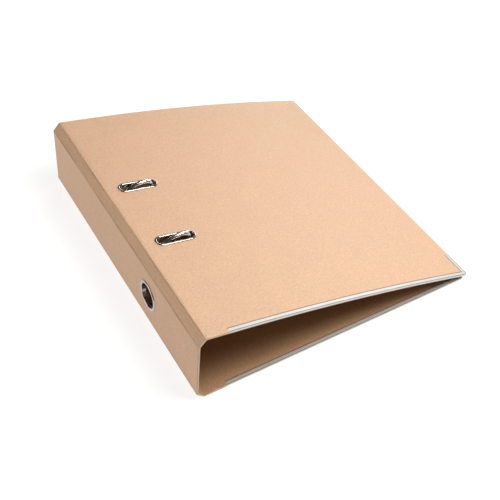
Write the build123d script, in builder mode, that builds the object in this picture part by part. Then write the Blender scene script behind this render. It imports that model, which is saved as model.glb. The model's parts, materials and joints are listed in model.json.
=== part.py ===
from build123d import *
import os
from math import asin, atan, cos, degrees, radians, sin, tan

os.makedirs("parts", exist_ok=True)

# Lever arch file lying on its back cover. Millimetres and degrees.
# +X runs from the spine to the free edge, +Y from the bottom edge to the top edge, +Z up.
# The origin is on the underside of the back cover, midway between the two posts.

# Case: board panels folded at four creases
file_length = 318.0
board_thickness = 2.0
back_cover_width = 279.3
front_cover_width = 289.0
hinge_strip_width = 10.2
spine_width = 61.0
spine_to_post = 56.5
back_strip_tilt = 45.0
spine_lean = 3.7
front_strip_tilt = 46.7
front_cover_bow = 5.0
front_edge_gap = 0.32
fold_relief = 1.0
corner_radius = 3.0

# Edge rails: U-section sheet steel let into the board
rail_gauge = 0.45
rail_flange = 3.8
rail_from_crease = 22.0
rail_return = 30.0

# Slots in the front cover, with their eyelets
slot_from_crease = 32.3
slot_length = 35.6
slot_width = 8.8

# Finger ring in the spine
finger_hole_radius = 11.9
finger_ring_from_edge = 95.0
finger_ring_up_spine = 31.2

# Eyelet and ring pressings
rim_width = 2.2
finger_rim_width = 2.85
rim_height = 1.0
rim_round = 0.9
neck_wall = 0.4
neck_clearance = 0.1
backing_width = 2.6
backing_gauge = 0.5
backing_seat = 0.15
clinch_width = 0.9
clinch_gauge = 0.4
clinch_seat = 0.05

# Mechanism base plate
plate_gauge = 1.0
plate_length = 144.0
plate_spine_side = 38.5
plate_paper_side = 7.5
plate_corner = 6.0
rib_radius = 1.3
rib_length = 40.0
rib_x = -17.0
rib_y = 40.0

# Posts, rivets and their flush heads under the board
post_spacing = 80.0
post_radius = 2.6
post_height = 49.5
post_tip_round = 1.4
post_foot_radius = 2.1
post_foot_height = 2.4
shank_radius = 1.8
shank_clearance = 0.1
flush_head_radius = 3.4
flush_head_depth = 0.6
rivet_head_radius = 3.6
rivet_head_height = 0.9
rivet_hollow_radius = 1.1
rivet_head_round = 0.6
rivet_y = 64.0
rivet_spine_side = -26.5
rivet_paper_side = -6.5

# Arch frame, one bent wire
wire_radius = 2.2
axle_x = -33.0
axle_z = 8.0
apex_z = 71.7
tip_gap = 0.3
tip_bend = 9.0
shoulder_bend = 23.0
foot_bend = 5.0
crank_bend = 3.0
crank_offset = 8.0
crank_half_length = 17.0
axle_clearance = 0.08
loop_gauge = 1.1
loop_length = 8.0
loop_y = 30.0

# Lever, its pivot and its roller
lever_x = -24.0
lever_width = 10.0
lever_gauge = 1.0
lever_pivot_y = 4.0
lever_hub_radius = 4.5
lever_arm_length = 56.0
lever_droop = 6.0
lever_end_radius = 3.0
lever_side_gap = 0.3
ear_gauge = 1.2
ear_foot = 14.0
lever_pin_radius = 1.5
lever_pin_head = 2.6
lever_pin_head_height = 0.8
pin_clearance = 0.06
roller_drop = 9.0
roller_radius = 3.5
roller_gap = 0.3
roller_pin_radius = 1.25
roller_eye_radius = 2.6

# Finger grip on the lever's end
grip_start = 42.0
grip_end = 58.0
grip_radius = 4.2
grip_width = 12.0
grip_round = 0.6
grip_clearance = 0.1

# Leaf spring under the crank
spring_gauge = 0.5
spring_width = 9.0
spring_y = -9.5
spring_fixed_end = -10.5
spring_ramp_start = -16.5
spring_ramp_end = -21.0
spring_free_end = -28.5
spring_gap = 0.3
spring_rivet_radius = 1.2
spring_rivet_head = 2.0
spring_rivet_height = 0.8

# Compressor bar sliding on the posts, with its two clamp springs
bar_width = 18.0
bar_length = 116.0
bar_gauge = 1.0
bar_lip_height = 2.4
bar_corner = 4.0
bar_seat = 0.3
bar_hole_clearance = 0.4
clamp_width = 11.0
clamp_length = 22.0
clamp_gauge = 0.5
clamp_clearance = 0.08
clamp_tab_height = 5.0
clamp_tab_width = 8.0
clamp_rivet_offset = 9.0
clamp_rivet_radius = 1.0
clamp_rivet_head = 1.8
clamp_rivet_height = 0.6

half_length = file_length / 2
post_y = post_spacing / 2
plate_top = board_thickness + plate_gauge
post_top_z = plate_top + post_height
spring_rivet_x = (spring_fixed_end + spring_ramp_start) / 2
lever_pivot_z = axle_z + wire_radius + roller_gap + roller_radius + roller_drop


# ---------------------------------------------------------------- case section
def along(point, angle, distance):
    """The point that lies a distance from another, in the XZ section."""
    x, z = point
    return (x + distance * cos(radians(angle)), z + distance * sin(radians(angle)))


# Crease lines on the outside of the case. Directions run over the outside from the back
# cover's free edge to the front cover's free edge, so the inside is on their right.
spine_direction = 90 - spine_lean
strip_run = hinge_strip_width * cos(radians(back_strip_tilt))
back_crease = (strip_run - spine_to_post, 0.0)
back_edge = (back_crease[0] + back_cover_width, 0.0)
spine_foot = along(back_crease, 180 - back_strip_tilt, hinge_strip_width)
spine_head = along(spine_foot, spine_direction, spine_width)
front_crease = along(spine_head, front_strip_tilt, hinge_strip_width)

# The front cover is an arc over its chord, which falls until its free edge is just clear of
# the back cover.
front_edge_z = 2 * board_thickness + front_edge_gap
front_cover_slope = degrees(asin((front_crease[1] - front_edge_z) / front_cover_width))
bow_angle = 2 * atan(2 * front_cover_bow / front_cover_width)
bow_radius = front_cover_width / (2 * sin(bow_angle))
front_length = 2 * bow_radius * bow_angle
crease_direction = degrees(bow_angle) - front_cover_slope
bow_centre = along(front_crease, crease_direction - 90, bow_radius)

# How far each crease turns
back_crease_turn = back_strip_tilt
foot_crease_turn = 180 - back_strip_tilt - spine_direction
head_crease_turn = spine_direction - front_strip_tilt
front_crease_turn = front_strip_tilt - crease_direction


def fold_inset(turn):
    """How far a panel's inner edge stands back from its crease."""
    return board_thickness * tan(radians(turn / 2 + fold_relief))


def panel_corners(start, direction, width, turn_before, turn_after):
    """Section of a flat panel, mitred at the folds before and after it."""
    end = along(start, direction, width)
    inward = direction - 90
    inner_start = along(start, direction, fold_inset(turn_before) if turn_before else 0)
    inner_end = along(start, direction, width - fold_inset(turn_after))
    return [
        start,
        end,
        along(inner_end, inward, board_thickness),
        along(inner_start, inward, board_thickness),
    ]


def add_panel(corners):
    """Adds a panel of the file's whole length from its section."""
    with BuildSketch(Plane.XZ.offset(-half_length)) as profile:
        with BuildLine():
            Polyline(*corners, close=True)
        make_face()
    extrude(profile.sketch, amount=file_length)


def add_back_band(start, end, outer_depth, inner_depth, low, high):
    """Adds a stretch of back cover between two distances from its crease."""
    with BuildSketch(Plane.XY.offset(outer_depth)) as profile:
        with Locations((back_crease[0] + (start + end) / 2, (low + high) / 2)):
            Rectangle(end - start, high - low)
    extrude(profile.sketch, amount=inner_depth - outer_depth)


def front_point(distance, depth):
    """A point of the bowed cover: its distance from the crease, its depth in the board."""
    angle = crease_direction + 90 - degrees(distance / bow_radius)
    return along(bow_centre, angle, bow_radius - depth)


def add_front_band(start, end, outer_depth, inner_depth, low, high, inset=0.0):
    """Adds a stretch of bowed cover between two distances from its crease."""
    middle = (start + end) / 2
    outer = [front_point(place, outer_depth) for place in (start, middle, end)]
    inner = [front_point(place, inner_depth) for place in (end, middle, start + inset)]
    with BuildSketch(Plane.XZ.offset(-high)) as profile:
        with BuildLine():
            ThreePointArc(*outer)
            Line(outer[2], inner[0])
            ThreePointArc(*inner)
            Line(inner[2], outer[0])
        make_face()
    extrude(profile.sketch, amount=high - low)


def corner_edge(part, section_point, y):
    """The upright edge of a cover's corner."""
    x, z = section_point
    return part.edges().sort_by_distance((x, y, z))[0]


def finish(name, label):
    """Names a finished piece and writes its file."""
    name.part.label = label
    export_step(name.part, f"parts/{label}.step")


# ---------------------------------------------------------------- back cover
fixings = [(0.0, -post_y), (0.0, post_y)]
for x in (rivet_spine_side, rivet_paper_side):
    fixings += [(x, -rivet_y), (x, rivet_y)]

back_corner = (back_edge[0], board_thickness / 2)
back_core_corner = (back_edge[0] - rail_gauge, board_thickness / 2)
inner_depth = board_thickness - rail_gauge
flange_y = rail_flange - half_length
return_y = rail_return - half_length
rail_y = rail_gauge - half_length

with BuildPart() as back_rail_core:
    add_back_band(0, back_cover_width - rail_gauge, rail_gauge, inner_depth, rail_y, half_length)
    fillet(corner_edge(back_rail_core, back_core_corner, rail_y), corner_radius - rail_gauge)

with BuildPart() as back_edge_rail:
    rail_start = back_cover_width - rail_flange
    add_back_band(rail_from_crease, back_cover_width, 0, board_thickness, -half_length, flange_y)
    add_back_band(rail_start, back_cover_width, 0, board_thickness, -half_length, return_y)
    fillet(corner_edge(back_edge_rail, back_corner, -half_length), corner_radius)
    add(back_rail_core.part, mode=Mode.SUBTRACT)
finish(back_edge_rail, "back_edge_rail")

with BuildPart() as back_cover_board:
    add_panel(panel_corners(back_edge, 180, back_cover_width, 0, back_crease_turn))
    for y in (-half_length, half_length):
        fillet(corner_edge(back_cover_board, back_corner, y), corner_radius)
    add(back_edge_rail.part, mode=Mode.SUBTRACT)
    with BuildSketch(Plane.XY):
        with Locations(*fixings):
            Circle(flush_head_radius + shank_clearance)
    extrude(amount=flush_head_depth, mode=Mode.SUBTRACT)
    with BuildSketch(Plane.XY):
        with Locations(*fixings):
            Circle(shank_radius + shank_clearance)
    extrude(amount=board_thickness, mode=Mode.SUBTRACT)
finish(back_cover_board, "back_cover_board")

# ---------------------------------------------------------------- hinge strips and spine
with BuildPart() as back_hinge_strip:
    strip_direction = 180 - back_strip_tilt
    add_panel(
        panel_corners(
            back_crease, strip_direction, hinge_strip_width, back_crease_turn, foot_crease_turn
        )
    )
finish(back_hinge_strip, "back_hinge_strip")

with BuildPart() as front_hinge_strip:
    add_panel(
        panel_corners(
            spine_head, front_strip_tilt, hinge_strip_width, head_crease_turn, front_crease_turn
        )
    )
finish(front_hinge_strip, "front_hinge_strip")


def circle_outline(grow, mode=Mode.ADD):
    """Outline of the finger hole, grown all round."""
    Circle(finger_hole_radius + grow, mode=mode)


def slot_outline(grow, mode=Mode.ADD):
    """Outline of a cover slot, grown all round."""
    SlotOverall(slot_length + 2 * grow, slot_width + 2 * grow, mode=mode)


def add_ring(plane, outline, outer_grow, inner_grow, height):
    """Adds a ring around a hole's outline."""
    with BuildSketch(plane) as profile:
        outline(outer_grow)
        outline(inner_grow, mode=Mode.SUBTRACT)
    extrude(profile.sketch, amount=height)


def add_eyelet(plane, outline, width):
    """Adds an eyelet: domed rim outside, neck through the board, clinched lip inside."""
    neck_depth = board_thickness + backing_seat + backing_gauge + clinch_seat + clinch_gauge
    add_ring(plane, outline, width, 0, rim_height)
    top = plane.offset(rim_height)
    rim_edges = [
        edge
        for edge in BuildPart._get_context().edges()
        if abs(top.to_local_coords(edge.center()).Z) < 1e-3
    ]
    fillet(rim_edges, rim_round)
    add_ring(plane.offset(-neck_depth), outline, neck_wall, 0, neck_depth)
    add_ring(plane.offset(-neck_depth), outline, neck_wall + clinch_width, 0, clinch_gauge)


def add_backing(plane, outline):
    """Adds the flat ring that an eyelet is clinched over, inside the board."""
    seat = board_thickness + backing_seat + backing_gauge
    hole = neck_wall + neck_clearance
    add_ring(plane.offset(-seat), outline, backing_width, hole, backing_gauge)


def cut_for_neck(plane, outline):
    """Cuts the board's hole for an eyelet's neck."""
    with BuildSketch(plane.offset(-2 * board_thickness)) as profile:
        outline(neck_wall + neck_clearance)
    extrude(profile.sketch, amount=3 * board_thickness, mode=Mode.SUBTRACT)


ring_x, ring_z = along(spine_foot, spine_direction, finger_ring_up_spine)
outward = along((0, 0), spine_direction + 90, 1)
ring_plane = Plane(
    origin=(ring_x, finger_ring_from_edge - half_length, ring_z),
    x_dir=(0, 1, 0),
    z_dir=(outward[0], 0, outward[1]),
)

with BuildPart() as spine_board:
    add_panel(
        panel_corners(
            spine_foot, spine_direction, spine_width, foot_crease_turn, head_crease_turn
        )
    )
    cut_for_neck(ring_plane, circle_outline)
finish(spine_board, "spine_board")

with BuildPart() as finger_ring:
    add_eyelet(ring_plane, circle_outline, finger_rim_width)
finish(finger_ring, "finger_ring")

with BuildPart() as finger_ring_washer:
    add_backing(ring_plane, circle_outline)
finish(finger_ring_washer, "finger_ring_washer")

# ---------------------------------------------------------------- front cover
slot_x, slot_z = front_point(slot_from_crease, 0)
slot_direction = crease_direction - degrees(slot_from_crease / bow_radius)
slot_along = along((0, 0), slot_direction, 1)
slot_outward = along((0, 0), slot_direction + 90, 1)
slot_planes = {}
for side, y in (("bottom", -post_y), ("top", post_y)):
    slot_planes[side] = Plane(
        origin=(slot_x, y, slot_z),
        x_dir=(slot_along[0], 0, slot_along[1]),
        z_dir=(slot_outward[0], 0, slot_outward[1]),
    )

front_corner = front_point(front_length, board_thickness / 2)
front_core_corner = front_point(front_length - rail_gauge, board_thickness / 2)

with BuildPart() as front_rail_core:
    add_front_band(0, front_length - rail_gauge, rail_gauge, inner_depth, rail_y, half_length)
    fillet(corner_edge(front_rail_core, front_core_corner, rail_y), corner_radius - rail_gauge)

with BuildPart() as front_edge_rail:
    rail_start = front_length - rail_flange
    add_front_band(rail_from_crease, front_length, 0, board_thickness, -half_length, flange_y)
    add_front_band(rail_start, front_length, 0, board_thickness, -half_length, return_y)
    fillet(corner_edge(front_edge_rail, front_corner, -half_length), corner_radius)
    add(front_rail_core.part, mode=Mode.SUBTRACT)
finish(front_edge_rail, "front_edge_rail")

with BuildPart() as front_cover_board:
    inset = fold_inset(front_crease_turn)
    add_front_band(0, front_length, 0, board_thickness, -half_length, half_length, inset)
    for y in (-half_length, half_length):
        fillet(corner_edge(front_cover_board, front_corner, y), corner_radius)
    add(front_edge_rail.part, mode=Mode.SUBTRACT)
    for plane in slot_planes.values():
        cut_for_neck(plane, slot_outline)
finish(front_cover_board, "front_cover_board")

for side, plane in slot_planes.items():
    with BuildPart() as slot_eyelet:
        add_eyelet(plane, slot_outline, rim_width)
    finish(slot_eyelet, f"slot_eyelet_{side}")

    with BuildPart() as slot_backing:
        add_backing(plane, slot_outline)
    finish(slot_backing, f"slot_backing_{side}")

# ---------------------------------------------------------------- base plate
plate_width = plate_spine_side + plate_paper_side
plate_x = (plate_paper_side - plate_spine_side) / 2
loop_radius = wire_radius + axle_clearance + loop_gauge
ear_spine_side = lever_x - lever_width / 2 - lever_side_gap - ear_gauge
ear_paper_side = lever_x + lever_width / 2 + lever_side_gap

with BuildPart() as base_plate:
    with BuildSketch(Plane.XY.offset(board_thickness)):
        with Locations((plate_x, 0)):
            RectangleRounded(plate_width, plate_length, plate_corner)
    extrude(amount=plate_gauge)
    # stiffening ribs, raised half rounds
    for y in (-rib_y, rib_y):
        with BuildSketch(Plane.XZ.offset(-y - rib_length / 2)):
            with Locations((rib_x, plate_top)):
                Circle(rib_radius)
            with Locations((rib_x, plate_top - plate_gauge / 2 - rib_radius / 2)):
                Rectangle(2 * rib_radius, plate_gauge + rib_radius, mode=Mode.SUBTRACT)
        extrude(amount=rib_length)
    # loops that carry the axle of the arch frame
    for y in (-loop_y, loop_y):
        with BuildSketch(Plane.XZ.offset(-y - loop_length / 2)):
            with Locations((axle_x, axle_z)):
                Circle(loop_radius)
            with Locations((axle_x, (plate_top + axle_z) / 2)):
                Rectangle(2 * loop_radius, axle_z - plate_top)
            with Locations((axle_x, axle_z)):
                Circle(wire_radius + axle_clearance, mode=Mode.SUBTRACT)
        extrude(amount=loop_length)
    # ears that carry the lever's pin
    for x in (ear_spine_side, ear_paper_side):
        with BuildSketch(Plane.YZ.offset(x)):
            with Locations((lever_pivot_y, lever_pivot_z)):
                Circle(lever_hub_radius)
            with Locations((lever_pivot_y, plate_top + ear_gauge / 2)):
                Rectangle(ear_foot, ear_gauge)
            make_hull()
            with Locations((lever_pivot_y, lever_pivot_z)):
                Circle(lever_pin_radius + pin_clearance, mode=Mode.SUBTRACT)
        extrude(amount=ear_gauge)
    # holes for the posts, the rivets and the spring's rivet
    with BuildSketch(Plane.XY.offset(board_thickness)):
        with Locations(*fixings):
            Circle(shank_radius + shank_clearance)
        with Locations((spring_rivet_x, spring_y)):
            Circle(spring_rivet_radius + shank_clearance)
    extrude(amount=plate_gauge, mode=Mode.SUBTRACT)
finish(base_plate, "base_plate")


def add_round(x, y, radius, bottom, top):
    """Adds an upright cylinder."""
    with BuildSketch(Plane.XY.offset(bottom)) as profile:
        with Locations((x, y)):
            Circle(radius)
    extrude(profile.sketch, amount=top - bottom)


# ---------------------------------------------------------------- posts and rivets
for side, y in (("bottom", -post_y), ("top", post_y)):
    with BuildPart() as post:
        add_round(0, y, post_radius, plate_top + post_foot_height, post_top_z)
        fillet(post.edges().group_by(Axis.Z)[-1], post_tip_round)
        add_round(0, y, post_foot_radius, plate_top, plate_top + post_foot_height)
        add_round(0, y, shank_radius, 0, plate_top)
        add_round(0, y, flush_head_radius, 0, flush_head_depth)
    finish(post, f"post_{side}")

with BuildPart() as mechanism_rivets:
    for x, y in fixings[2:]:
        add_round(x, y, rivet_head_radius, plate_top, plate_top + rivet_head_height)
    head_tops = mechanism_rivets.edges().group_by(Axis.Z)[-1]
    fillet(head_tops, rivet_head_round)
    for x, y in fixings[2:]:
        add_round(x, y, shank_radius, 0, plate_top)
        add_round(x, y, flush_head_radius, 0, flush_head_depth)
    with BuildSketch(Plane.XY.offset(plate_top)):
        with Locations(*fixings[2:]):
            Circle(rivet_hollow_radius)
    extrude(amount=rivet_head_height, mode=Mode.SUBTRACT)
finish(mechanism_rivets, "mechanism_rivets")

# ---------------------------------------------------------------- arch frame
tip_z = post_top_z + tip_gap
crank_x = axle_x + crank_offset
half_route = [
    (0, -post_y, tip_z),
    (0, -post_y, apex_z),
    (axle_x, -post_y, apex_z),
    (axle_x, -post_y, axle_z),
    (axle_x, -crank_half_length, axle_z),
    (crank_x, -crank_half_length, axle_z),
]
half_bends = [tip_bend, shoulder_bend, foot_bend, crank_bend, crank_bend]
wire_route = half_route + [(x, -y, z) for x, y, z in reversed(half_route)]
wire_bends = half_bends + half_bends[::-1]

with BuildPart() as arch_frame:
    with BuildLine() as wire_line:
        FilletPolyline(*wire_route, radius=wire_bends)
    with BuildSketch(Plane.XY.offset(tip_z)):
        with Locations((0, -post_y)):
            Circle(wire_radius)
    sweep(path=wire_line.wires()[0])
finish(arch_frame, "arch_frame")

# ---------------------------------------------------------------- lever
pivot = (lever_pivot_y, lever_pivot_z)
roller_centre = (lever_pivot_y, lever_pivot_z - roller_drop)


def lever_point(distance):
    """A point on the lever's long arm, as Y and Z."""
    return along(pivot, 180 + lever_droop, distance)


def arm_sketch(clearance):
    """Side outline of the long arm, from the hub to its rounded end."""
    with BuildSketch() as outline:
        with Locations(pivot):
            Circle(lever_hub_radius + clearance)
        with Locations(lever_point(lever_arm_length)):
            Circle(lever_end_radius + clearance)
        make_hull()
    return outline.sketch


long_arm = arm_sketch(0)
grip_pocket = arm_sketch(grip_clearance)
cheek_x = lever_width / 2
cheek_planes = (
    Plane.YZ.offset(lever_x - cheek_x),
    Plane.YZ.offset(lever_x + cheek_x - lever_gauge),
)

with BuildPart() as lever_arm:
    # web over the top of the long arm
    with BuildSketch(Plane.YZ.offset(lever_x - cheek_x)):
        add(long_arm)
        with Locations((0, -lever_gauge)):
            add(long_arm, mode=Mode.SUBTRACT)
    extrude(amount=lever_width)
    # two cheeks, each with its short arm
    for plane in cheek_planes:
        with BuildSketch(plane):
            with Locations(pivot):
                Circle(lever_hub_radius)
            with Locations(roller_centre):
                Circle(roller_eye_radius)
            make_hull()
            add(long_arm)
            with Locations(pivot):
                Circle(lever_pin_radius + pin_clearance, mode=Mode.SUBTRACT)
            with Locations(roller_centre):
                Circle(roller_pin_radius, mode=Mode.SUBTRACT)
        extrude(amount=lever_gauge)
finish(lever_arm, "lever_arm")

with BuildPart() as lever_grip:
    with BuildSketch(Plane.YZ.offset(lever_x - grip_width / 2)):
        with Locations(lever_point(grip_start), lever_point(grip_end)):
            Circle(grip_radius)
        make_hull()
    extrude(amount=grip_width)
    fillet(lever_grip.faces().group_by(Axis.X)[0].edges(), grip_round)
    fillet(lever_grip.faces().group_by(Axis.X)[-1].edges(), grip_round)
    with BuildSketch(Plane.YZ.offset(lever_x - cheek_x - grip_clearance)):
        add(grip_pocket)
    extrude(amount=lever_width + 2 * grip_clearance, mode=Mode.SUBTRACT)
finish(lever_grip, "lever_grip")


def add_cross_pin(centre, radius, left, right):
    """Adds a pin that lies along X."""
    with BuildSketch(Plane.YZ.offset(left)) as profile:
        with Locations(centre):
            Circle(radius)
    extrude(profile.sketch, amount=right - left)


pin_left = ear_spine_side - lever_side_gap
pin_right = ear_paper_side + ear_gauge + lever_side_gap
with BuildPart() as lever_pin:
    add_cross_pin(pivot, lever_pin_radius, pin_left, pin_right)
    add_cross_pin(pivot, lever_pin_head, pin_left - lever_pin_head_height, pin_left)
    add_cross_pin(pivot, lever_pin_head, pin_right, pin_right + lever_pin_head_height)
    fillet(lever_pin.edges().group_by(Axis.X)[0], lever_pin_head_height / 2)
    fillet(lever_pin.edges().group_by(Axis.X)[-1], lever_pin_head_height / 2)
finish(lever_pin, "lever_pin")

with BuildPart() as roller_pin:
    add_cross_pin(roller_centre, roller_pin_radius, lever_x - cheek_x, lever_x + cheek_x)
finish(roller_pin, "roller_pin")

roller_half = cheek_x - lever_gauge - lever_side_gap
with BuildPart() as roller:
    add_cross_pin(roller_centre, roller_radius, lever_x - roller_half, lever_x + roller_half)
    chamfer(roller.edges().group_by(Axis.X)[0], lever_side_gap)
    chamfer(roller.edges().group_by(Axis.X)[-1], lever_side_gap)
    with BuildSketch(Plane.YZ.offset(lever_x - roller_half)):
        with Locations(roller_centre):
            Circle(roller_pin_radius + pin_clearance)
    extrude(amount=2 * roller_half, mode=Mode.SUBTRACT)
finish(roller, "roller")

# ---------------------------------------------------------------- leaf spring
spring_top_z = axle_z - wire_radius - spring_gap
spring_line = [
    (spring_fixed_end, plate_top),
    (spring_ramp_start, plate_top),
    (spring_ramp_end, spring_top_z - spring_gauge),
    (spring_free_end, spring_top_z - spring_gauge),
]

with BuildPart() as arch_spring:
    with BuildSketch(Plane.XZ.offset(-spring_y - spring_width / 2)):
        with BuildLine():
            Polyline(
                *spring_line,
                *[(x, z + spring_gauge) for x, z in reversed(spring_line)],
                close=True,
            )
        make_face()
    extrude(amount=spring_width)
    with BuildSketch(Plane.XY.offset(plate_top)):
        with Locations((spring_rivet_x, spring_y)):
            Circle(spring_rivet_radius + shank_clearance)
    extrude(amount=spring_gauge, mode=Mode.SUBTRACT)
finish(arch_spring, "arch_spring")

rivet_seat = plate_top + spring_gauge
with BuildPart() as spring_rivet:
    add_round(
        spring_rivet_x, spring_y, spring_rivet_head, rivet_seat, rivet_seat + spring_rivet_height
    )
    fillet(spring_rivet.edges().group_by(Axis.Z)[-1], spring_rivet_height / 2)
    add_round(spring_rivet_x, spring_y, spring_rivet_radius, board_thickness, rivet_seat)
finish(spring_rivet, "spring_rivet")

# ---------------------------------------------------------------- compressor bar
bar_bottom = plate_top + bar_seat
bar_top = bar_bottom + bar_gauge
clamp_top = bar_top + clamp_gauge

with BuildPart() as compressor_bar:
    with BuildSketch(Plane.XY.offset(bar_bottom)):
        RectangleRounded(bar_width, bar_length, bar_corner)
    extrude(amount=bar_gauge)
    # turned-up lips along both long sides
    with BuildSketch(Plane.XY.offset(bar_top)):
        lip_x = (bar_width - bar_gauge) / 2
        with Locations((-lip_x, 0), (lip_x, 0)):
            Rectangle(bar_gauge, bar_length - 2 * bar_corner)
    extrude(amount=bar_lip_height)
    with BuildSketch(Plane.XY.offset(bar_bottom)):
        with Locations((0, -post_y), (0, post_y)):
            Circle(post_radius + bar_hole_clearance)
        rivet_place = post_y + clamp_rivet_offset
        with Locations((0, -rivet_place), (0, rivet_place)):
            Circle(clamp_rivet_radius + shank_clearance)
    extrude(amount=bar_gauge, mode=Mode.SUBTRACT)
finish(compressor_bar, "compressor_bar")

for side, way in (("bottom", -1), ("top", 1)):
    clamp_y = way * post_y
    outer_end = clamp_y + way * clamp_length / 2
    with BuildPart() as clamp_spring:
        with BuildSketch(Plane.XY.offset(bar_top)):
            with Locations((0, clamp_y)):
                Rectangle(clamp_width, clamp_length)
                Circle(post_radius + clamp_clearance, mode=Mode.SUBTRACT)
            with Locations((0, clamp_y + way * clamp_rivet_offset)):
                Circle(clamp_rivet_radius + shank_clearance, mode=Mode.SUBTRACT)
        extrude(amount=clamp_gauge)
        # thumb tab, turned up at the inner end
        tab_y = clamp_y - way * (clamp_length - clamp_gauge) / 2
        with BuildSketch(Plane.XY.offset(clamp_top)):
            with Locations((0, tab_y)):
                Rectangle(clamp_tab_width, clamp_gauge)
        extrude(amount=clamp_tab_height)
    finish(clamp_spring, f"clamp_spring_{side}")

with BuildPart() as clamp_rivets:
    for y in (-rivet_place, rivet_place):
        add_round(0, y, clamp_rivet_head, clamp_top, clamp_top + clamp_rivet_height)
    fillet(clamp_rivets.edges().group_by(Axis.Z)[-1], clamp_rivet_height / 2)
    for y in (-rivet_place, rivet_place):
        add_round(0, y, clamp_rivet_radius, bar_bottom, clamp_top)
finish(clamp_rivets, "clamp_rivets")
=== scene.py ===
import json
import math

import bmesh
import bpy
from mathutils import Matrix, Vector


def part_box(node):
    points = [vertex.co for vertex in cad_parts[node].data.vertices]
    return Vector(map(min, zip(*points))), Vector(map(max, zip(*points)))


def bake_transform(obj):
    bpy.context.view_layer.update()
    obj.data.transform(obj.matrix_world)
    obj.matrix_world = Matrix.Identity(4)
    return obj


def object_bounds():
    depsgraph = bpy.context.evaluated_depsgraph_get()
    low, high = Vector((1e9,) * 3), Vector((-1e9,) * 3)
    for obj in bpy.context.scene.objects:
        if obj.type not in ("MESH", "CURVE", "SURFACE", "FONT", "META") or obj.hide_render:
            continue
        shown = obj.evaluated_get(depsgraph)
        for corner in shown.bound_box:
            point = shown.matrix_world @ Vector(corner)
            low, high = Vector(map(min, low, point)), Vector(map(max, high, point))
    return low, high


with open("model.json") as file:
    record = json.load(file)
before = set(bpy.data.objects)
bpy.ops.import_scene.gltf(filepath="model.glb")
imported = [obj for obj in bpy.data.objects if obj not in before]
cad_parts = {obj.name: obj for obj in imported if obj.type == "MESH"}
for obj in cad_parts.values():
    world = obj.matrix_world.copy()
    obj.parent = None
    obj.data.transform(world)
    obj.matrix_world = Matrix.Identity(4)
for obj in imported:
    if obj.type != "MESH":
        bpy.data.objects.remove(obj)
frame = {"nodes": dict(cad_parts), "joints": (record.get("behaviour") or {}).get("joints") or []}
cad_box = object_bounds()
nodes = frame["nodes"]
joints = {joint["name"]: joint for joint in frame["joints"]}
MM = 0.001

# ------------------------------------------------------------------ boards
# Two covers, two narrow hinge strips and the spine, all 2 mm grey board lined on both
# faces with brown kraft paper. The sheet is scored at the four creases and folded, and its
# edges are cut square, so the paler board shows between the two plies of paper.


def add_node(tree, kind, inputs=(), **settings):
    """Adds a node. An input is given a plain value or joined to the socket passed for it."""
    made = tree.nodes.new(kind)
    for key, value in settings.items():
        setattr(made, key, value)
    for key, value in dict(inputs).items():
        if isinstance(value, bpy.types.NodeSocket):
            tree.links.new(value, made.inputs[key])
        else:
            made.inputs[key].default_value = value
    return made


def math_node(tree, operation, first, second=0.0):
    """The result of a sum of two values."""
    made = add_node(tree, "ShaderNodeMath", {0: first, 1: second}, operation=operation)
    return made.outputs[0]


def ramp(tree, value, low, high, to_low=0.0, to_high=1.0):
    """A value carried smoothly from one range to another."""
    made = add_node(
        tree,
        "ShaderNodeMapRange",
        {"Value": value, "From Min": low, "From Max": high, "To Min": to_low, "To Max": to_high},
        interpolation_type="SMOOTHSTEP",
    )
    return made.outputs[0]


def mix_colours(tree, factor, first, second):
    """Two colours mixed by a factor."""
    made = add_node(
        tree,
        "ShaderNodeMix",
        {0: factor, 6: first, 7: second},
        data_type="RGBA",
    )
    return made.outputs[2]


def stretched_noise(tree, stretch, turn, scale, detail=2.0, roughness=0.5):
    """Noise fixed to the piece, stretched and turned, as fibres and scratches lie."""
    place = add_node(tree, "ShaderNodeTexCoord").outputs["Object"]
    mapped = add_node(
        tree,
        "ShaderNodeMapping",
        {"Vector": place, "Rotation": (0.0, 0.0, turn), "Scale": stretch},
    ).outputs[0]
    made = add_node(
        tree,
        "ShaderNodeTexNoise",
        {"Vector": mapped, "Scale": scale, "Detail": detail, "Roughness": roughness},
    )
    return made.outputs[0]


def new_group(name, inputs, outputs):
    """An empty shader node group with the named sockets."""
    group = bpy.data.node_groups.new(name, "ShaderNodeTree")
    for socket, kind, value in inputs:
        made = group.interface.new_socket(socket, in_out="INPUT", socket_type=kind)
        made.default_value = value
    for socket, kind in outputs:
        group.interface.new_socket(socket, in_out="OUTPUT", socket_type=kind)
    return group, group.nodes.new("NodeGroupInput"), group.nodes.new("NodeGroupOutput")


FLOAT, COLOUR, VECTOR = "NodeSocketFloat", "NodeSocketColor", "NodeSocketVector"


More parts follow.
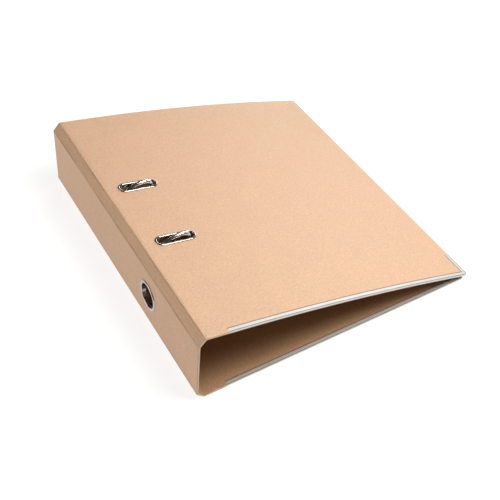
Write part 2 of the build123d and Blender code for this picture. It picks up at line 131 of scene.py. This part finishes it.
def make_kraft_paper():
    """Kraft paper: cloudy tone, fine grain, and pale and dark fibres lying every way."""
    group, given, result = new_group(
        "kraft_paper",
        [("Paper", COLOUR, (0.6, 0.4, 0.25, 1)), ("Fibres", FLOAT, 1.0)],
        [("Color", COLOUR), ("Roughness", FLOAT), ("Height", FLOAT)],
    )
    paper, amount = given.outputs["Paper"], given.outputs["Fibres"]
    cloud = stretched_noise(group, (1, 1, 1), 0.0, 38.0, 4.0, 0.55)
    grain = stretched_noise(group, (1, 1, 1), 0.0, 620.0, 3.0, 0.65)
    tone = math_node(
        group, "ADD", ramp(group, cloud, 0.3, 0.7, -0.022, 0.022), ramp(group, grain, 0.25, 0.75, -0.1, 0.1)
    )
    shade = add_node(
        group,
        "ShaderNodeHueSaturation",
        {"Color": paper, "Value": math_node(group, "ADD", tone, 1.0)},
    ).outputs[0]
    pale_one = stretched_noise(group, (1, 6, 3), 0.5, 480.0, 1.0)
    pale_two = stretched_noise(group, (6, 1, 3), 0.3, 430.0, 1.0)
    pale = math_node(group, "MAXIMUM", ramp(group, pale_one, 0.66, 0.76), ramp(group, pale_two, 0.67, 0.77))
    dark_one = stretched_noise(group, (1, 5, 2), -0.7, 390.0, 1.0)
    dark_two = stretched_noise(group, (5, 1, 2), -0.2, 350.0, 1.0)
    dark = math_node(group, "MAXIMUM", ramp(group, dark_one, 0.68, 0.8), ramp(group, dark_two, 0.69, 0.8))
    pale_part = math_node(group, "MULTIPLY", math_node(group, "MULTIPLY", pale, 0.4), amount)
    dark_part = math_node(group, "MULTIPLY", math_node(group, "MULTIPLY", dark, 0.5), amount)
    lighter = mix_colours(group, pale_part, shade, (0.86, 0.72, 0.55, 1))
    darker = mix_colours(group, dark_part, lighter, (0.30, 0.17, 0.09, 1))
    relief = math_node(group, "MULTIPLY", grain, 0.5)
    height = math_node(group, "ADD", relief, math_node(group, "MULTIPLY", pale, 0.3))
    group.links.new(darker, result.inputs["Color"])
    group.links.new(ramp(group, cloud, 0.3, 0.7, 0.56, 0.66), result.inputs["Roughness"])
    group.links.new(height, result.inputs["Height"])
    return group


def make_cut_edge():
    """Where a panel's cut edge shows: its pale core, and the darker paper ply at each side."""
    group, given, result = new_group(
        "cut_edge",
        [("Panel Normal", VECTOR, (0, 0, 1))],
        [("Core", FLOAT), ("Ply", FLOAT)],
    )
    normal = add_node(group, "ShaderNodeTexCoord").outputs["Normal"]
    across = add_node(
        group,
        "ShaderNodeVectorMath",
        {0: normal, 1: given.outputs["Panel Normal"]},
        operation="DOT_PRODUCT",
    ).outputs["Value"]
    facing = math_node(group, "ABSOLUTE", across)
    core = ramp(group, facing, 0.45, 0.25)
    ply = math_node(group, "MULTIPLY", ramp(group, facing, 0.2, 0.4), ramp(group, facing, 0.97, 0.9))
    group.links.new(core, result.inputs["Core"])
    group.links.new(ply, result.inputs["Ply"])
    return group


def make_handling_rub():
    """Paper rubbed paler along the file's long ends, in broken patches."""
    group, _, result = new_group("handling_rub", [], [("Mask", FLOAT)])
    place = add_node(group, "ShaderNodeTexCoord").outputs["Object"]
    along_y = add_node(group, "ShaderNodeSeparateXYZ", {0: place}).outputs["Y"]
    end_band = ramp(group, math_node(group, "ABSOLUTE", along_y), half_length - 2.5 * MM, half_length)
    patches = ramp(group, stretched_noise(group, (1, 1, 1), 0.0, 90.0, 5.0, 0.7), 0.45, 0.65)
    group.links.new(math_node(group, "MULTIPLY", end_band, patches), result.inputs["Mask"])
    return group


def make_rail_edge_shadow():
    """A painted shadow line on the paper along a rail's edge, where the edge presses the paper down."""
    group, given, result = new_group(
        "rail_edge_shadow",
        [
            ("Rail Start", FLOAT, 0.0),
            ("Rail End", FLOAT, 1.0),
            ("Flange Line", FLOAT, 0.0),
            ("Return Line", FLOAT, 1.0),
            ("Return Top", FLOAT, 0.0),
        ],
        [("Mask", FLOAT)],
    )
    place = add_node(group, "ShaderNodeTexCoord").outputs["Object"]
    axes = add_node(group, "ShaderNodeSeparateXYZ", {0: place}).outputs
    masks = []
    for across, line, along, low, high in (
        ("Y", "Flange Line", "X", "Rail Start", "Return Line"),
        ("X", "Return Line", "Y", "Flange Line", "Return Top"),
    ):
        offset = math_node(group, "SUBTRACT", axes[across], given.outputs[line])
        near = ramp(group, math_node(group, "ABSOLUTE", offset), 1.3 * MM, 0.5 * MM)
        past_low = math_node(group, "GREATER_THAN", axes[along], given.outputs[low])
        before_high = math_node(group, "LESS_THAN", axes[along], given.outputs[high])
        inside = math_node(group, "MULTIPLY", past_low, before_high)
        masks.append(math_node(group, "MULTIPLY", near, inside))
    group.links.new(math_node(group, "MAXIMUM", masks[0], masks[1]), result.inputs["Mask"])
    return group


half_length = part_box("spine_board")[1][1]
kraft_paper = make_kraft_paper()
rail_edge_shadow = make_rail_edge_shadow()
cut_edge = make_cut_edge()
handling_rub = make_handling_rub()


def use_group(tree, group, values=()):
    """Places a node group with its own values."""
    made = tree.nodes.new("ShaderNodeGroup")
    made.node_tree = group
    for key, value in dict(values).items():
        if isinstance(value, bpy.types.NodeSocket):
            tree.links.new(value, made.inputs[key])
        else:
            made.inputs[key].default_value = value
    return made


def new_material(name):
    """A material with its tree and its Principled shader."""
    material = bpy.data.materials.new(name)
    material.use_nodes = True
    return material, material.node_tree, material.node_tree.nodes["Principled BSDF"]


RUBBED_PAPER = (0.80, 0.66, 0.50, 1)
PLY_BROWN = (0.22, 0.14, 0.09, 1)
# Painted shadow: the dark line on the paper along each rail's edge.
RAIL_SHADOW_BROWN = (0.12, 0.08, 0.06, 1)
BOARD_CORE = (0.68, 0.52, 0.36, 1)


def board_material(name, paper, shaded_inner_paper, panel_normal, rail=None):
    """Kraft-lined board, with its outer paper, its inner paper darkened as painted shade, and the board
    seen at cut edges.
    """
    material, tree, shader = new_material(name)
    normal = add_node(tree, "ShaderNodeTexCoord").outputs["Normal"]
    outward = add_node(
        tree, "ShaderNodeVectorMath", {0: normal, 1: panel_normal}, operation="DOT_PRODUCT"
    ).outputs["Value"]
    side = ramp(tree, outward, -0.2, 0.2)
    lining = mix_colours(tree, side, shaded_inner_paper, paper)
    kraft = use_group(tree, kraft_paper, {"Paper": lining, "Fibres": 1.0})
    edge = use_group(tree, cut_edge, {"Panel Normal": panel_normal})
    rub = use_group(tree, handling_rub)
    wear_and_shade = math_node(tree, "MULTIPLY", rub.outputs["Mask"], 0.35)
    rubbed = mix_colours(tree, wear_and_shade, kraft.outputs["Color"], RUBBED_PAPER)
    ply = math_node(tree, "MULTIPLY", edge.outputs["Ply"], 0.8)
    plied = mix_colours(tree, ply, rubbed, PLY_BROWN)
    if rail:
        (rail_start, rail_low, _), (rail_end, rail_top, _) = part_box(rail)
        rail_shadow = use_group(
            tree,
            rail_edge_shadow,
            {
                "Rail Start": rail_start,
                "Rail End": rail_end,
                "Flange Line": rail_low + RAIL_FLANGE,
                "Return Line": rail_end - RAIL_FLANGE,
                "Return Top": rail_top,
            },
        )
        # Painted shadow line on the paper along the rail's edge.
        rail_shadowed = math_node(tree, "MULTIPLY", rail_shadow.outputs["Mask"], 0.8)
        plied = mix_colours(tree, rail_shadowed, plied, RAIL_SHADOW_BROWN)
    core = math_node(tree, "MULTIPLY", edge.outputs["Core"], 0.8)
    cored = mix_colours(tree, core, plied, BOARD_CORE)
    bump = add_node(
        tree,
        "ShaderNodeBump",
        {"Height": kraft.outputs["Height"], "Strength": 0.25, "Distance": 0.15 * MM},
    )
    tree.links.new(cored, shader.inputs["Base Color"])
    tree.links.new(kraft.outputs["Roughness"], shader.inputs["Roughness"])
    tree.links.new(bump.outputs[0], shader.inputs["Normal"])
    shader.inputs["Specular IOR Level"].default_value = 0.5
    return material


SHARP_EDGE = math.radians(28)
WELD_GAP = 0.002 * MM


def soften_edges(node_name, width):
    """Joins a node's faces and rounds its sharp edges, without touching its mesh."""
    piece = nodes[node_name]
    weld = piece.modifiers.new("weld", "WELD")
    weld.merge_threshold = WELD_GAP
    bevel = piece.modifiers.new("rounding", "BEVEL")
    bevel.width = width
    bevel.segments = 2
    bevel.limit_method = "ANGLE"
    bevel.angle_limit = SHARP_EDGE
    bevel.use_clamp_overlap = True
    even = piece.modifiers.new("even_shading", "WEIGHTED_NORMAL")
    even.keep_sharp = False
    even.weight = 100


def give(node_name, material):
    """Gives a node its material."""
    slots = nodes[node_name].data.materials
    slots.clear()
    slots.append(material)


OUTER_KRAFT = (0.66, 0.414, 0.26, 1)
# The inner lining's darker brown is painted shade, standing in for the shade inside the closed case.
SHADED_INNER_KRAFT = (0.44, 0.255, 0.135, 1)
BOARD_ROUNDING = 0.4 * MM
RAIL_FLANGE = 3.8 * MM

# The directions of the panels round the fold, from the back cover to the front cover: each
# crease turns by the angle that opens it flat.
crease_names = ["case_opening", "spine_foot_crease", "spine_head_crease", "front_cover_crease"]
crease_turns = [math.radians(joints[name]["range_deg"][1]) for name in crease_names]
fold_directions = [math.pi]
for turn in crease_turns:
    fold_directions.append(fold_directions[-1] - turn)
front_low, front_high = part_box("front_cover_board")
front_slope = math.atan2(front_high[2] - front_low[2], front_high[0] - front_low[0])
panel_directions = fold_directions[:-1] + [-front_slope]

board_nodes = [
    "back_cover_board",
    "back_hinge_strip",
    "spine_board",
    "front_hinge_strip",
    "front_cover_board",
]
cover_rails = {"back_cover_board": "back_edge_rail", "front_cover_board": "front_edge_rail"}
for node_name, direction in zip(board_nodes, panel_directions):
    outward = (math.cos(direction + math.pi / 2), 0.0, math.sin(direction + math.pi / 2))
    rail = cover_rails.get(node_name)
    give(node_name, board_material(node_name + "_kraft", OUTER_KRAFT, SHADED_INNER_KRAFT, outward, rail))
    soften_edges(node_name, BOARD_ROUNDING)

# ------------------------------------------------------------------ crease paper
# The kraft paper runs over each crease in one sheet, outside and inside. It is what holds
# the panels together, so it rounds over the fold.
BOARD = 2.0 * MM
PAPER_LIFT = 0.05 * MM
PAPER_DEPTH = 0.3 * MM
FOLD_RADIUS = 2.2 * MM
OUTER_REACH = 4.5 * MM
INNER_REACH = 5.0 * MM
INNER_FOLD_RADIUS = 0.3 * MM
SMOOTH_FOLD = math.radians(40)
ARC_STEPS = 8
EASING = (1.0, 0.5, 0.12)
END_SETBACK = 0.12 * MM


def step(point, direction, distance):
    """The point at a distance in a direction of the XZ section."""
    return (
        point[0] + distance * math.cos(direction),
        point[1] + distance * math.sin(direction),
    )


def crease_path(corner, before, after, reach, radius, lift, side):
    """Points over a rounded crease, lifted off the board and easing down at both ends."""
    turn = before - after
    tangent = radius * math.tan(turn / 2)
    points = []
    for share in EASING:
        rise = lift * min(1.0, (1.0 - share) * 2 + 0.1)
        flat = step(corner, before + math.pi, tangent + (reach - tangent) * share)
        points.append(step(flat, before + side * math.pi / 2, rise))
    start = step(corner, before + math.pi, tangent)
    centre = step(start, before - math.pi / 2, radius)
    for count in range(ARC_STEPS + 1):
        angle = before + math.pi / 2 - turn * count / ARC_STEPS
        points.append(step(centre, angle, radius + side * lift))
    for share in EASING[::-1]:
        rise = lift * min(1.0, (1.0 - share) * 2 + 0.1)
        flat = step(corner, after, tangent + (reach - tangent) * share)
        points.append(step(flat, after + side * math.pi / 2, rise))
    return points


def strip_mesh(name, top_path, bottom_path, low_y, high_y):
    """A closed thin strip between two section paths, running along Y."""
    mesh = bmesh.new()
    ends = []
    for y in (low_y, high_y):
        ring = [mesh.verts.new((x, y, z)) for x, z in top_path + bottom_path[::-1]]
        ends.append(ring)
    count = len(ends[0])
    for index in range(count):
        after = (index + 1) % count
        mesh.faces.new((ends[0][index], ends[0][after], ends[1][after], ends[1][index]))
    half = len(top_path)
    for ring in ends:
        for index in range(half - 1):
            mesh.faces.new(
                (ring[index], ring[index + 1], ring[count - 2 - index], ring[count - 1 - index])
            )
    bmesh.ops.recalc_face_normals(mesh, faces=mesh.faces)
    for face in mesh.faces:
        face.smooth = True
    for edge in mesh.edges:
        edge.smooth = edge.calc_face_angle() < SMOOTH_FOLD
    data = bpy.data.meshes.new(name)
    mesh.to_mesh(data)
    mesh.free()
    flat_points = len(EASING)
    on_fold = [flat_points <= index < half - flat_points for index in range(half)]
    nearness = [1.0 if folded else 0.0 for folded in on_fold + on_fold[::-1]] * 2
    data.attributes.new("fold", "FLOAT", "POINT").data.foreach_set("value", nearness)
    piece = bpy.data.objects.new(name, data)
    bpy.context.scene.collection.objects.link(piece)
    return piece


def make_fold_wrinkles():
    """Fine wrinkles pressed into the paper along a fold, darkened by grime and painted shade, most on the
    fold itself.
    """
    group, given, result = new_group(
        "fold_wrinkles",
        [("Paper", COLOUR, (0.6, 0.4, 0.25, 1)), ("Grime And Shade", FLOAT, 0.3)],
        [("Color", COLOUR), ("Height", FLOAT)],
    )
    fine = stretched_noise(group, (1, 0.02, 1), 0.0, 900.0, 3.0, 0.6)
    broad = stretched_noise(group, (1, 0.02, 1), 0.0, 300.0, 2.0, 0.5)
    wrinkle = math_node(group, "MAXIMUM", ramp(group, fine, 0.42, 0.72), ramp(group, broad, 0.4, 0.75))
    fold = add_node(group, "ShaderNodeAttribute", attribute_name="fold").outputs["Fac"]
    reach = ramp(group, fold, 0.0, 1.0, 0.15, 1.0)
    dark = math_node(
        group, "MULTIPLY", math_node(group, "MULTIPLY", wrinkle, reach), given.outputs["Grime And Shade"]
    )
    grimed_and_shaded = mix_colours(group, dark, given.outputs["Paper"], (0.28, 0.15, 0.06, 1))
    group.links.new(grimed_and_shaded, result.inputs["Color"])
    group.links.new(fine, result.inputs["Height"])
    return group


fold_wrinkles = make_fold_wrinkles()


def crease_material(name, paper, grime_and_shade):
    """Kraft paper over a crease, wrinkled and darkened along the fold by grime and painted shade."""
    material, tree, shader = new_material(name)
    kraft = use_group(tree, kraft_paper, {"Paper": paper, "Fibres": 1.0})
    fold = use_group(tree, fold_wrinkles, {"Paper": kraft.outputs["Color"], "Grime And Shade": grime_and_shade})
    height = math_node(tree, "ADD", kraft.outputs["Height"], fold.outputs["Height"])
    bump = add_node(
        tree,
        "ShaderNodeBump",
        {"Height": height, "Strength": 0.3, "Distance": 0.15 * MM},
    )
    tree.links.new(fold.outputs["Color"], shader.inputs["Base Color"])
    tree.links.new(kraft.outputs["Roughness"], shader.inputs["Roughness"])
    tree.links.new(bump.outputs[0], shader.inputs["Normal"])
    shader.inputs["Specular IOR Level"].default_value = 0.5
    return material


# The darkening along each fold is grime and painted shade, strongest on the outer crease paper.
outer_crease = crease_material("outer_crease_kraft", OUTER_KRAFT, 0.85)
# The inner crease lining carries the same painted shade as the inner paper.
inner_crease = crease_material("inner_crease_kraft", SHADED_INNER_KRAFT, 0.2)

for index, crease_name in enumerate(crease_names):
    joint = joints[crease_name]
    before, after = fold_directions[index], fold_directions[index + 1]
    corner = (joint["pos_m"][0], joint["pos_m"][2])
    half_turn = (before - after) / 2
    bisector = (before + after) / 2 - math.pi / 2
    inner_corner = step(corner, bisector, BOARD / math.cos(half_turn))
    span = half_length - END_SETBACK
    outer_top = crease_path(corner, before, after, OUTER_REACH, FOLD_RADIUS, PAPER_LIFT, 1)
    outer_under = crease_path(corner, before, after, OUTER_REACH, FOLD_RADIUS, -PAPER_DEPTH, 1)
    outer = strip_mesh(crease_name + "_paper", outer_top, outer_under, -span, span)
    outer.data.materials.append(outer_crease)
    inner_top = crease_path(inner_corner, before, after, INNER_REACH, INNER_FOLD_RADIUS, PAPER_LIFT, -1)
    inner_under = crease_path(inner_corner, before, after, INNER_REACH, INNER_FOLD_RADIUS, -PAPER_DEPTH, -1)
    inner = strip_mesh(crease_name + "_lining", inner_top, inner_under, -span, span)
    inner.data.materials.append(inner_crease)
    for piece, middle in ((outer, corner), (inner, inner_corner)):
        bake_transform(piece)

# ------------------------------------------------------------------ edge rails
# U-section strips of thin nickel-plated steel pressed over the bottom edge of each cover
# and a little way round its free corner, where the file stands on the shelf.


def make_metal_finish():
    """Plated metal: faint drawn lines, handling smears and tiny pits."""
    group, given, result = new_group(
        "metal_finish",
        [("Metal", COLOUR, (0.8, 0.78, 0.75, 1)), ("Polish", FLOAT, 0.2), ("Smears", FLOAT, 1.0)],
        [("Color", COLOUR), ("Roughness", FLOAT), ("Height", FLOAT)],
    )
    smear = stretched_noise(group, (1, 1, 1), 0.0, 85.0, 4.0, 0.6)
    lines = stretched_noise(group, (1, 14, 14), 0.05, 160.0, 2.0)
    pits = ramp(group, stretched_noise(group, (1, 1, 1), 0.0, 900.0, 1.0), 0.7, 0.82)
    smeared = math_node(
        group, "MULTIPLY", ramp(group, smear, 0.35, 0.7, 0.0, 0.14), given.outputs["Smears"]
    )
    rough = math_node(group, "ADD", given.outputs["Polish"], smeared)
    lined = math_node(group, "ADD", rough, ramp(group, lines, 0.3, 0.7, -0.03, 0.05))
    dulled = mix_colours(
        group, math_node(group, "MULTIPLY", smeared, 1.2), given.outputs["Metal"], (0.52, 0.49, 0.44, 1)
    )
    pitted = mix_colours(group, math_node(group, "MULTIPLY", pits, 0.18), dulled, (0.25, 0.23, 0.21, 1))
    height = math_node(group, "SUBTRACT", math_node(group, "MULTIPLY", lines, 0.4), pits)
    group.links.new(pitted, result.inputs["Color"])
    group.links.new(lined, result.inputs["Roughness"])
    group.links.new(height, result.inputs["Height"])
    return group


metal_finish = make_metal_finish()


METAL_RELIEF = 0.12


def metal_material(name, colour, polish, smears):
    """A plated or bare metal part."""
    material, tree, shader = new_material(name)
    finish = use_group(tree, metal_finish, {"Metal": colour, "Polish": polish, "Smears": smears})
    bump = add_node(
        tree,
        "ShaderNodeBump",
        {"Height": finish.outputs["Height"], "Strength": METAL_RELIEF, "Distance": 0.05 * MM},
    )
    tree.links.new(finish.outputs["Color"], shader.inputs["Base Color"])
    tree.links.new(finish.outputs["Roughness"], shader.inputs["Roughness"])
    tree.links.new(bump.outputs[0], shader.inputs["Normal"])
    shader.inputs["Metallic"].default_value = 1.0
    return material


def make_flange_edge_shade():
    """A painted dark band along the rounded outer edge of a rail's flange, as shade there."""
    group, given, result = new_group(
        "flange_edge_shade",
        [("Outer Y", FLOAT, 0.0), ("Outer X", FLOAT, 1.0)],
        [("Mask", FLOAT)],
    )
    place = add_node(group, "ShaderNodeTexCoord").outputs["Object"]
    axes = add_node(group, "ShaderNodeSeparateXYZ", {0: place}).outputs
    masks = []
    for axis, line in (("Y", "Outer Y"), ("X", "Outer X")):
        offset = math_node(group, "SUBTRACT", axes[axis], given.outputs[line])
        depth = math_node(group, "ABSOLUTE", offset)
        near = ramp(group, depth, 1.1 * MM, 0.7 * MM)
        masks.append(math_node(group, "MULTIPLY", near, ramp(group, depth, 0.02 * MM, 0.12 * MM)))
    group.links.new(math_node(group, "MAXIMUM", masks[0], masks[1]), result.inputs["Mask"])
    return group


flange_edge_shade = make_flange_edge_shade()
# Painted shade: the dark colour of the band along each rail's rounded flange edge.
FLANGE_EDGE_SHADE = (0.16, 0.15, 0.145, 1)

for node_name in ("back_edge_rail", "front_edge_rail"):
    rail_nickel = metal_material(node_name + "_nickel", (0.66, 0.64, 0.60, 1), 0.52, 0.5)
    (_, rail_low, _), (rail_end, _, _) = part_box(node_name)
    rail_tree = rail_nickel.node_tree
    rail_shader = rail_tree.nodes["Principled BSDF"]
    plated = rail_shader.inputs["Base Color"].links[0].from_socket
    flange_shade = use_group(rail_tree, flange_edge_shade, {"Outer Y": rail_low, "Outer X": rail_end})
    # Painted shade along the rail's rounded flange edge.
    wear_and_shade = math_node(rail_tree, "MULTIPLY", flange_shade.outputs["Mask"], 0.8)
    rail_colour = mix_colours(rail_tree, wear_and_shade, plated, FLANGE_EDGE_SHADE)
    rail_tree.links.new(rail_colour, rail_shader.inputs["Base Color"])
    give(node_name, rail_nickel)
    soften_edges(node_name, 0.2 * MM)

# ------------------------------------------------------------------ eyelets and finger ring
# Rims pressed from thin steel and bright nickel plated: two oblong eyelets that the arches
# stand up through, and the finger ring in the spine. Each is clinched over a flat ring inside.
bright_nickel = metal_material("bright_nickel", (0.50, 0.47, 0.43, 1), 0.13, 0.7)
dull_nickel = metal_material("dull_nickel", (0.66, 0.63, 0.58, 1), 0.3, 0.5)
ring_nickel = metal_material("ring_nickel", (0.47, 0.45, 0.42, 1), 0.2, 0.8)
give("finger_ring", ring_nickel)
for node_name in ("slot_eyelet_bottom", "slot_eyelet_top"):
    give(node_name, bright_nickel)
for node_name in ("slot_backing_bottom", "slot_backing_top", "finger_ring_washer"):
    give(node_name, dull_nickel)
    soften_edges(node_name, 0.1 * MM)

# ------------------------------------------------------------------ base plate
# Pressed steel plate with stiffening ribs, loops that carry the axle and two ears that
# carry the lever, nickel plated. It is riveted to the back cover.
plate_nickel = metal_material("plate_nickel", (0.78, 0.75, 0.70, 1), 0.27, 0.35)
give("base_plate", plate_nickel)
soften_edges("base_plate", 0.18 * MM)

# ------------------------------------------------------------------ arches and posts
# One bent 4.4 mm wire makes both arches, their axle and the crank. The two posts are
# turned from stouter rod, and the arch tips close down onto them.
wire_nickel = metal_material("wire_nickel", (0.80, 0.78, 0.74, 1), 0.15, 0.7)
for node_name in ("arch_frame", "post_bottom", "post_top"):
    give(node_name, wire_nickel)

# ------------------------------------------------------------------ rivets and pins
# Hollow rivets hold the base plate to the board, small solid ones hold the springs, and
# turned steel pins carry the lever and its roller.
rivet_nickel = metal_material("rivet_nickel", (0.74, 0.71, 0.66, 1), 0.22, 0.4)
turned_steel = metal_material("turned_steel", (0.56, 0.56, 0.57, 1), 0.28, 0.7)
for node_name in ("mechanism_rivets", "spring_rivet", "clamp_rivets"):
    give(node_name, rivet_nickel)
for node_name in ("lever_pin", "roller_pin", "roller"):
    give(node_name, turned_steel)

# ------------------------------------------------------------------ lever
# A channel of pressed steel with two cheeks, nickel plated. Its short arm carries the
# roller that presses the crank down.
lever_nickel = metal_material("lever_nickel", (0.78, 0.75, 0.70, 1), 0.22, 0.4)
give("lever_arm", lever_nickel)
soften_edges("lever_arm", 0.15 * MM)

# ------------------------------------------------------------------ finger grip
# A sleeve of black moulded plastic with a fine spark-eroded texture, pushed over the end of
# the lever.


def make_moulded_plastic():
    """Moulded plastic: fine spark texture, with high spots polished by fingers."""
    group, given, result = new_group(
        "moulded_plastic",
        [("Plastic", COLOUR, (0.03, 0.03, 0.03, 1))],
        [("Color", COLOUR), ("Roughness", FLOAT), ("Height", FLOAT)],
    )
    texture = stretched_noise(group, (1, 1, 1), 0.0, 2600.0, 2.0, 0.6)
    polish = stretched_noise(group, (1, 1, 1), 0.0, 130.0, 3.0)
    wear_and_shade = ramp(group, polish, 0.5, 0.72)
    shade = mix_colours(
        group, math_node(group, "MULTIPLY", wear_and_shade, 0.35), given.outputs["Plastic"], (0.09, 0.088, 0.085, 1)
    )
    group.links.new(shade, result.inputs["Color"])
    group.links.new(ramp(group, polish, 0.35, 0.72, 0.52, 0.36), result.inputs["Roughness"])
    group.links.new(texture, result.inputs["Height"])
    return group


moulded_plastic = make_moulded_plastic()
grip_black, grip_tree, grip_shader = new_material("grip_black")
grip_finish = use_group(grip_tree, moulded_plastic, {"Plastic": (0.022, 0.022, 0.023, 1)})
grip_bump = add_node(
    grip_tree,
    "ShaderNodeBump",
    {"Height": grip_finish.outputs["Height"], "Strength": 0.35, "Distance": 0.06 * MM},
)
grip_tree.links.new(grip_finish.outputs["Color"], grip_shader.inputs["Base Color"])
grip_tree.links.new(grip_finish.outputs["Roughness"], grip_shader.inputs["Roughness"])
grip_tree.links.new(grip_bump.outputs[0], grip_shader.inputs["Normal"])
give("lever_grip", grip_black)

# ------------------------------------------------------------------ springs
# Spring steel left bare and slightly blue from heat treatment: the leaf under the crank and
# the two small clamps that hold the compressor bar on its posts.
spring_steel = metal_material("spring_steel", (0.36, 0.38, 0.42, 1), 0.3, 0.8)
for node_name in ("arch_spring", "clamp_spring_bottom", "clamp_spring_top"):
    give(node_name, spring_steel)
    soften_edges(node_name, 0.08 * MM)

# ------------------------------------------------------------------ compressor bar
# A strip of nickel-plated steel with both long sides turned up, sliding on the posts to
# hold the papers down.
bar_nickel = metal_material("bar_nickel", (0.79, 0.76, 0.71, 1), 0.24, 0.35)
give("compressor_bar", bar_nickel)
soften_edges("compressor_bar", 0.14 * MM)

# ------------------------------------------------------------------ floor
# The file lies on a white table whose top glows faintly, so that the floor stays pale and
# its shadows stay soft.
FLOOR_REACH = 4.0
floor_mesh = bmesh.new()
bmesh.ops.create_grid(floor_mesh, x_segments=1, y_segments=1, size=FLOOR_REACH)
floor_data = bpy.data.meshes.new("floor")
floor_mesh.to_mesh(floor_data)
floor_mesh.free()
floor = bpy.data.objects.new("floor", floor_data)
floor.location = (0.0, 0.0, cad_box[0][2] - 0.05 * MM)
bpy.context.scene.collection.objects.link(floor)
floor_paint, floor_tree, floor_shader = new_material("floor_paint")
floor_tone = ramp(floor_tree, stretched_noise(floor_tree, (1, 1, 1), 0.0, 3.0), 0.2, 0.8, 0.27, 0.29)
floor_colour = add_node(
    floor_tree, "ShaderNodeCombineColor", {0: floor_tone, 1: floor_tone, 2: floor_tone}
)
floor_tree.links.new(floor_colour.outputs[0], floor_shader.inputs["Base Color"])
floor_shader.inputs["Roughness"].default_value = 0.8
floor_shader.inputs["Specular IOR Level"].default_value = 0.1
floor_shader.inputs["Emission Color"].default_value = (1.0, 1.0, 1.0, 1)
floor_shader.inputs["Emission Strength"].default_value = 0.84
floor_data.materials.append(floor_paint)

# ------------------------------------------------------------------ light
# A white studio: a soft light overhead and a little in front, a broad pale wall beyond the
# free edge, a warmer one to the left of the spine, and a dim surround behind a white roll.
bpy.context.scene.view_settings.view_transform = "Standard"
world = bpy.data.worlds.new("studio")
bpy.context.scene.world = world
world.use_nodes = True
surround = world.node_tree.nodes["Background"]
surround.inputs["Color"].default_value = (1.0, 0.99, 0.975, 1)
surround.inputs["Strength"].default_value = 0.04
backdrop = add_node(
    world.node_tree, "ShaderNodeBackground", {"Color": (1.0, 1.0, 1.0, 1), "Strength": 0.86}
)
seen = add_node(world.node_tree, "ShaderNodeLightPath").outputs["Is Camera Ray"]
paper_roll = add_node(
    world.node_tree,
    "ShaderNodeMixShader",
    {0: seen, 1: surround.outputs[0], 2: backdrop.outputs[0]},
)
world.node_tree.links.new(
    paper_roll.outputs[0], world.node_tree.nodes["World Output"].inputs["Surface"]
)


def add_softbox(name, place, aim, width, power, colour):
    """A square soft light at a place, aimed at a point."""
    data = bpy.data.lights.new(name, "AREA")
    data.shape = "SQUARE"
    data.size = width
    data.energy = power
    data.color = colour
    light = bpy.data.objects.new(name, data)
    light.location = place
    light.rotation_euler = (Vector(aim) - Vector(place)).to_track_quat("-Z", "Y").to_euler()
    bpy.context.scene.collection.objects.link(light)


middle = (cad_box[0] + cad_box[1]) / 2
add_softbox("overhead", middle + Vector((0.32, -0.3, 0.85)), middle, 0.55, 10.9, (1.0, 0.985, 0.965))
add_softbox("far_wall", middle + Vector((1.45, 1.3, 0.36)), middle, 1.2, 20.0, (0.95, 0.985, 1.0))
add_softbox("left_wall", middle + Vector((-1.6, 0.5, 0.35)), middle, 1.2, 9.5, (1.0, 0.94, 0.86))

# ------------------------------------------------------------------ camera
# Looks down at the closed file from beyond the bottom end of its spine.
AZIMUTH, ELEVATION, ROLL = math.radians(-30.2), math.radians(45.48), math.radians(0.78)
DISTANCE, SIDEWAYS, UPWARDS = 881.2 * MM, 7.1 * MM, 48.7 * MM
AIM = Vector((93.5, 0.0, 35.0)) * MM

back = Vector(
    (
        math.sin(AZIMUTH) * math.cos(ELEVATION),
        -math.cos(AZIMUTH) * math.cos(ELEVATION),
        math.sin(ELEVATION),
    )
)
level = Vector((0, 0, 1)).cross(back).normalized()
upright = back.cross(level)
right = level * math.cos(ROLL) + upright * math.sin(ROLL)
up = upright * math.cos(ROLL) - level * math.sin(ROLL)
camera_data = bpy.data.cameras.new("camera")
camera_data.sensor_width = 36.0
camera_data.lens = 64.48
camera = bpy.data.objects.new("camera", camera_data)
spot = AIM + back * DISTANCE - right * SIDEWAYS - up * UPWARDS
turned = Matrix((right, up, back)).transposed().to_4x4()
camera.matrix_world = Matrix.Translation(spot) @ turned
bpy.context.scene.collection.objects.link(camera)
bpy.context.scene.camera = camera
